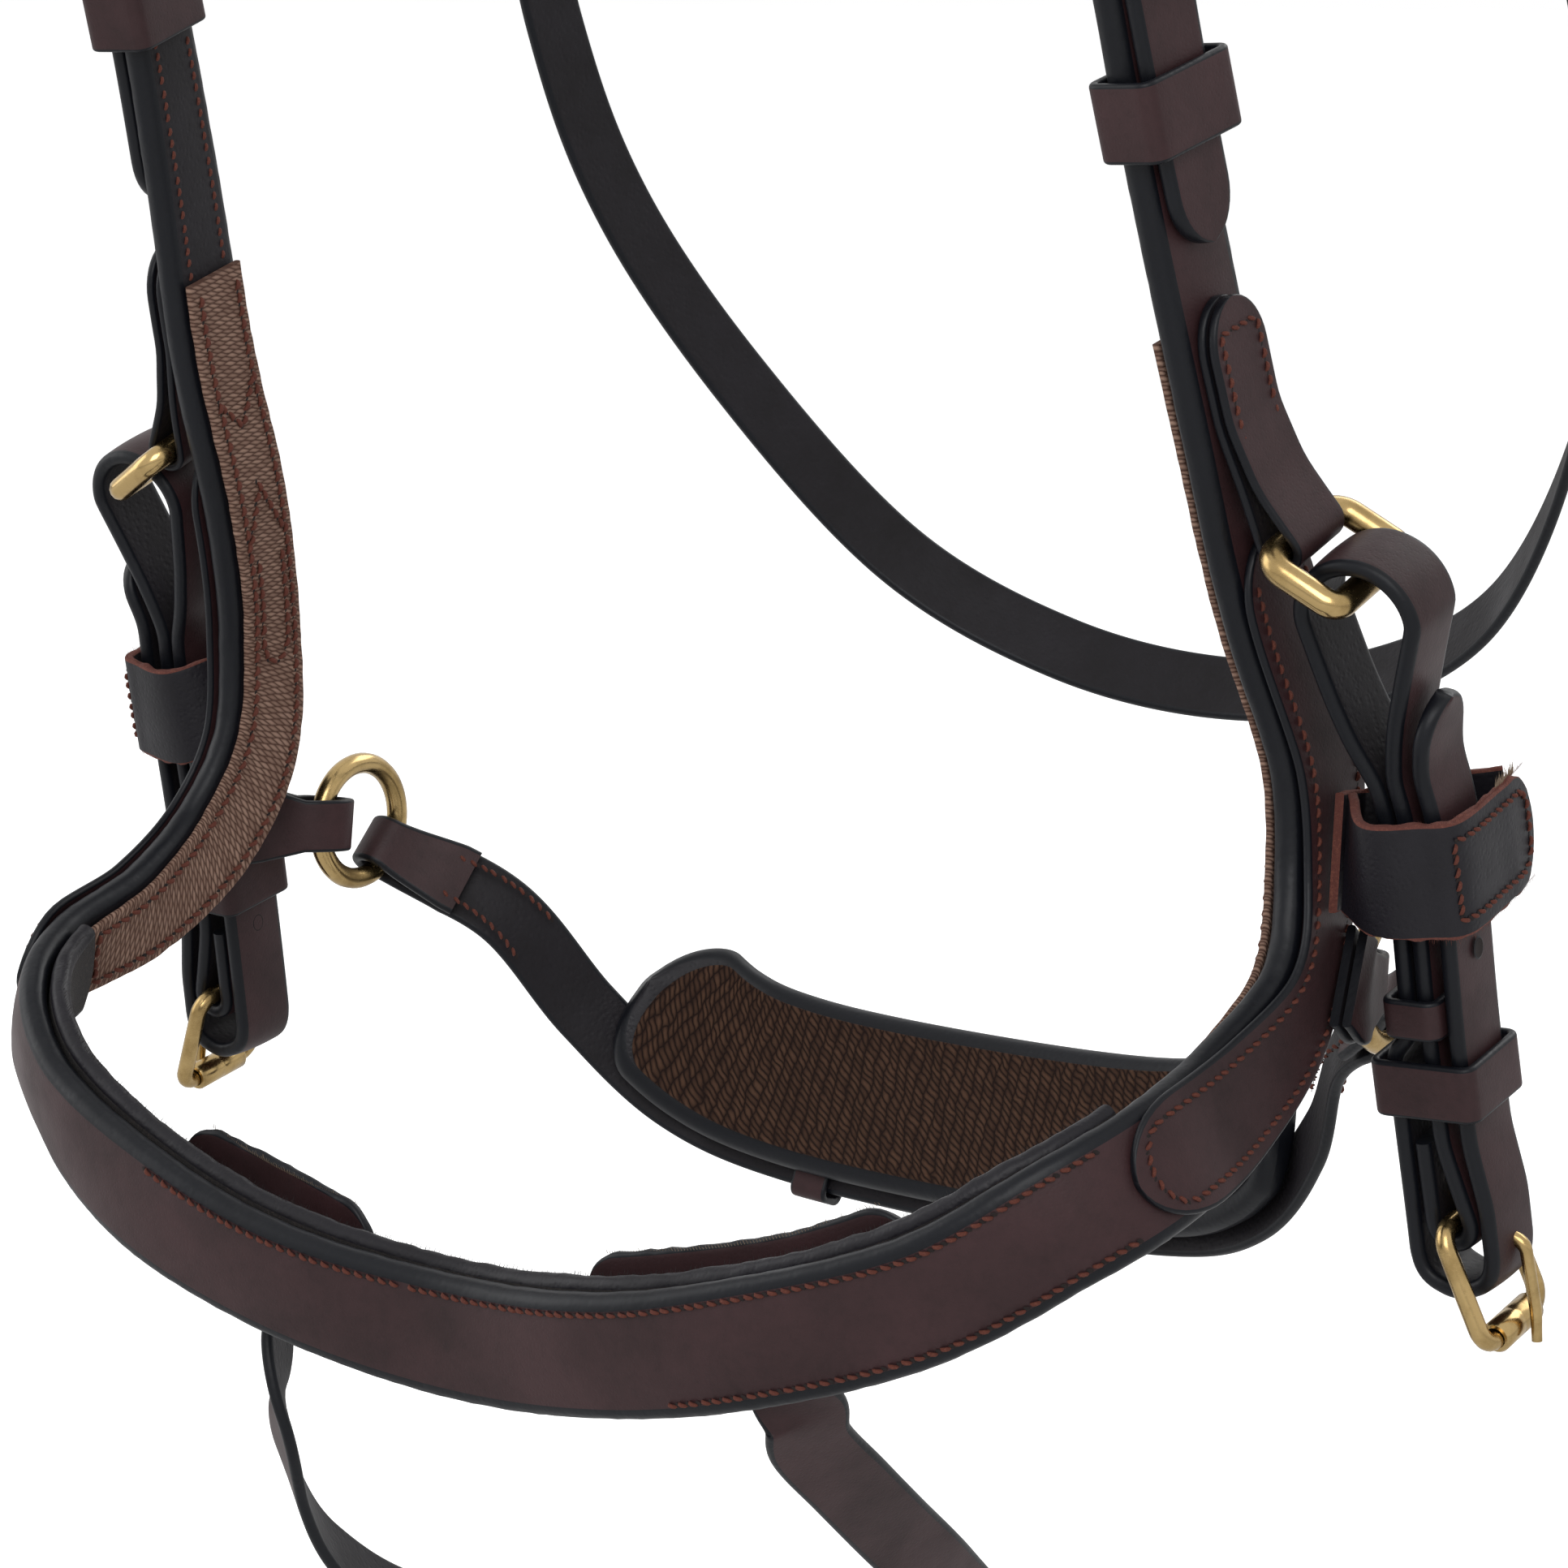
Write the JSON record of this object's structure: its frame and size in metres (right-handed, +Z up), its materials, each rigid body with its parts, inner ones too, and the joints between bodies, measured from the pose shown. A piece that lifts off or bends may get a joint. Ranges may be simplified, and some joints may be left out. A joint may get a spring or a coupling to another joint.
{
  "type": "horse bridle",
  "caption": "Leather horse bridle head set with padded noseband arms, wrapped bit straps on cheek rings, chin pad strap, throatlatch and lower strap, brass fittings.",
  "frame": {"origin": "top of the crown strap, on the bridle's middle plane", "axes": "+X to the horse's left, -Y to its nose, +Z up; left and right in names are the horse's"},
  "size_m": [0.2774, 0.282, 0.545],
  "materials": {
    "brown_leather": "dark brown, softly polished",
    "dark_leather": "near-black pad leather, grained",
    "brown_webbing": "woven herringbone webbing",
    "hook_tape": "brown hook-and-loop face",
    "loop_lining": "soft dark loop lining",
    "brass": "polished brass"
  },
  "bodies": {
    "root": {"browband": "brown_leather", "headpiece": "brown_leather", "left_arm_lap": "brown_leather", "left_arm_webbing": "brown_webbing", "left_browband_loop": "brown_leather", "left_cheek_buckle_frame": "brass", "left_cheek_chape": "brown_leather", "left_chin_tab": "brown_leather", "left_ring_chape": "brown_leather", "left_wrap": "brown_leather", "nose_lining": "loop_lining", "nosepiece": "brown_leather", "poll_pad": "dark_leather", "right_arm_lap": "brown_leather", "right_arm_webbing": "brown_webbing", "right_browband_loop": "brown_leather", "right_cheek_buckle_frame": "brass", "right_cheek_chape": "brown_leather", "right_chin_tab": "brown_leather", "right_ring_chape": "brown_leather", "right_wrap": "brown_leather"},
    "chin": {"chin_billet": "brown_leather", "chin_buckle_frame": "brass", "chin_keeper": "brown_leather", "chin_pad": "hook_tape", "chin_strap": "brown_leather"},
    "chin_tongue": {"chin_buckle_tongue": "brass"},
    "left_bit": {"left_bit_buckle_frame": "brass", "left_bit_loop": "brown_leather", "left_bit_strap": "brown_leather"},
    "left_bit_roller": {"left_bit_buckle_roller": "brass"},
    "left_bit_tongue": {"left_bit_buckle_tongue": "brass"},
    "left_bit_keeper": {"left_bit_keeper": "brown_leather"},
    "left_cheek_tongue": {"left_cheek_buckle_tongue": "brass"},
    "left_cheek_keeper": {"left_cheek_keeper": "brown_leather"},
    "left_ring": {"left_cheek_ring": "brass"},
    "left_chin_ring": {"left_chin_ring": "brass"},
    "left_flap": {"left_wrap_flap": "brown_leather"},
    "lower": {"lower_billet": "brown_leather", "lower_buckle_frame": "brass", "lower_keeper": "brown_leather", "lower_strap": "brown_leather"},
    "lower_tongue": {"lower_buckle_tongue": "brass"},
    "right_bit": {"right_bit_buckle_frame": "brass", "right_bit_loop": "brown_leather", "right_bit_strap": "brown_leather"},
    "right_bit_roller": {"right_bit_buckle_roller": "brass"},
    "right_bit_tongue": {"right_bit_buckle_tongue": "brass"},
    "right_bit_keeper": {"right_bit_keeper": "brown_leather"},
    "right_cheek_tongue": {"right_cheek_buckle_tongue": "brass"},
    "right_cheek_keeper": {"right_cheek_keeper": "brown_leather"},
    "right_ring": {"right_cheek_ring": "brass"},
    "right_chin_ring": {"right_chin_ring": "brass"},
    "right_flap": {"right_wrap_flap": "brown_leather"},
    "throat": {"throat_billet": "brown_leather", "throat_buckle_frame": "brass", "throat_keeper": "brown_leather", "throat_strap": "brown_leather"},
    "throat_tongue": {"throat_buckle_tongue": "brass"}
  },
  "joints": [
    {"name": "left_ring_swing", "type": "hinge", "parent": "root", "child": "left_ring", "pos_m": [0.10986, 0.00773, -0.32466], "axis": [-0.0459, -0.9395, -0.3395], "range_deg": [-10, 6]},
    {"name": "left_bit_swing", "type": "hinge", "parent": "left_ring", "child": "left_bit", "pos_m": [0.12026, 0.00952, -0.33065], "axis": [-0.0459, -0.9395, -0.3395], "range_deg": [-9.5, 12]},
    {"name": "left_bit_tongue_lift", "type": "hinge", "parent": "left_bit", "child": "left_bit_tongue", "pos_m": [0.12664, 0.03394, -0.42896], "axis": [0, -0.9844, -0.1759], "range_deg": [0, 12]},
    {"name": "left_bit_roller_spin", "type": "hinge", "parent": "left_bit", "child": "left_bit_roller", "pos_m": [0.13354, 0.03594, -0.44611], "axis": [0, -0.9844, -0.1759], "continuous": true},
    {"name": "left_bit_keeper_slide", "type": "slide", "parent": "left_bit", "child": "left_bit_keeper", "axis": [0.05, 0.1946, -0.9796], "range_m": [-0.003, 0.0008]},
    {"name": "left_flap_open", "type": "hinge", "parent": "root", "child": "left_flap", "pos_m": [0.11367, 0.01761, -0.37294], "axis": [0.0212, -0.0945, -0.9953], "range_deg": [0, 45]},
    {"name": "left_cheek_tongue_lift", "type": "hinge", "parent": "root", "child": "left_cheek_tongue", "pos_m": [0.09422, -0.02445, -0.218], "axis": [0.1453, 0.9608, 0.2361], "range_deg": [0, 12]},
    {"name": "left_cheek_keeper_slide", "type": "slide", "parent": "root", "child": "left_cheek_keeper", "axis": [0.0677, 0.2762, -0.9587], "range_m": [-0.005, 0.005]},
    {"name": "left_chin_ring_spin", "type": "hinge", "parent": "root", "child": "left_chin_ring", "pos_m": [0.106, 0.046, -0.398], "axis": [1, 0, 0], "continuous": true},
    {"name": "right_ring_swing", "type": "hinge", "parent": "root", "child": "right_ring", "pos_m": [-0.10986, 0.00773, -0.32466], "axis": [-0.0459, 0.9395, 0.3395], "range_deg": [-10, 6]},
    {"name": "right_bit_swing", "type": "hinge", "parent": "right_ring", "child": "right_bit", "pos_m": [-0.12026, 0.00952, -0.33065], "axis": [-0.0459, 0.9395, 0.3395], "range_deg": [-9.5, 12]},
    {"name": "right_bit_tongue_lift", "type": "hinge", "parent": "right_bit", "child": "right_bit_tongue", "pos_m": [-0.12664, 0.03394, -0.42896], "axis": [0, 0.9844, 0.1759], "range_deg": [0, 12]},
    {"name": "right_bit_roller_spin", "type": "hinge", "parent": "right_bit", "child": "right_bit_roller", "pos_m": [-0.13354, 0.03594, -0.44611], "axis": [0, -0.9844, -0.1759], "continuous": true},
    {"name": "right_bit_keeper_slide", "type": "slide", "parent": "right_bit", "child": "right_bit_keeper", "axis": [-0.05, 0.1946, -0.9796], "range_m": [-0.003, 0.0008]},
    {"name": "right_flap_open", "type": "hinge", "parent": "root", "child": "right_flap", "pos_m": [-0.11367, 0.01761, -0.37294], "axis": [0.0212, 0.0945, 0.9953], "range_deg": [0, 45]},
    {"name": "right_cheek_tongue_lift", "type": "hinge", "parent": "root", "child": "right_cheek_tongue", "pos_m": [-0.09422, -0.02445, -0.218], "axis": [0.1453, -0.9608, -0.2361], "range_deg": [0, 12]},
    {"name": "right_cheek_keeper_slide", "type": "slide", "parent": "root", "child": "right_cheek_keeper", "axis": [-0.0392, 0.2959, -0.9544], "range_m": [-0.002, 0.005]},
    {"name": "right_chin_ring_spin", "type": "hinge", "parent": "root", "child": "right_chin_ring", "pos_m": [-0.106, 0.046, -0.398], "axis": [1, 0, 0], "continuous": true},
    {"name": "chin_swing", "type": "hinge", "parent": "root", "child": "chin", "pos_m": [0, 0.046, -0.398], "axis": [1, 0, 0], "range_deg": [-20, 20]},
    {"name": "throat_swing", "type": "hinge", "parent": "root", "child": "throat", "pos_m": [0, 0.00428, -0.06933], "axis": [1, 0, 0], "range_deg": [-6, 14]},
    {"name": "lower_swing", "type": "hinge", "parent": "root", "child": "lower", "pos_m": [0, -0.04815, -0.45077], "axis": [1, 0, 0], "range_deg": [-12, 1.2]},
    {"name": "chin_tongue_lift", "type": "hinge", "parent": "chin", "child": "chin_tongue", "pos_m": [-0.00953, 0.09566, -0.46198], "axis": [0.0077, 0.3566, 0.9342], "range_deg": [0, 12]},
    {"name": "throat_tongue_lift", "type": "hinge", "parent": "throat", "child": "throat_tongue", "pos_m": [-0.10089, 0.05631, -0.15827], "axis": [0.0914, -0.8192, -0.5662], "range_deg": [0, 12]},
    {"name": "lower_tongue_lift", "type": "hinge", "parent": "lower", "child": "lower_tongue", "pos_m": [-0.01141, 0.04278, -0.5343], "axis": [0.3958, -0.5259, -0.7528], "range_deg": [0, 12]}
  ],
  "couplings": [
    {"joint": "left_bit_swing", "follows": "left_ring_swing", "ratio": -1.167},
    {"joint": "right_bit_swing", "follows": "right_ring_swing", "ratio": -1.167}
  ]
}
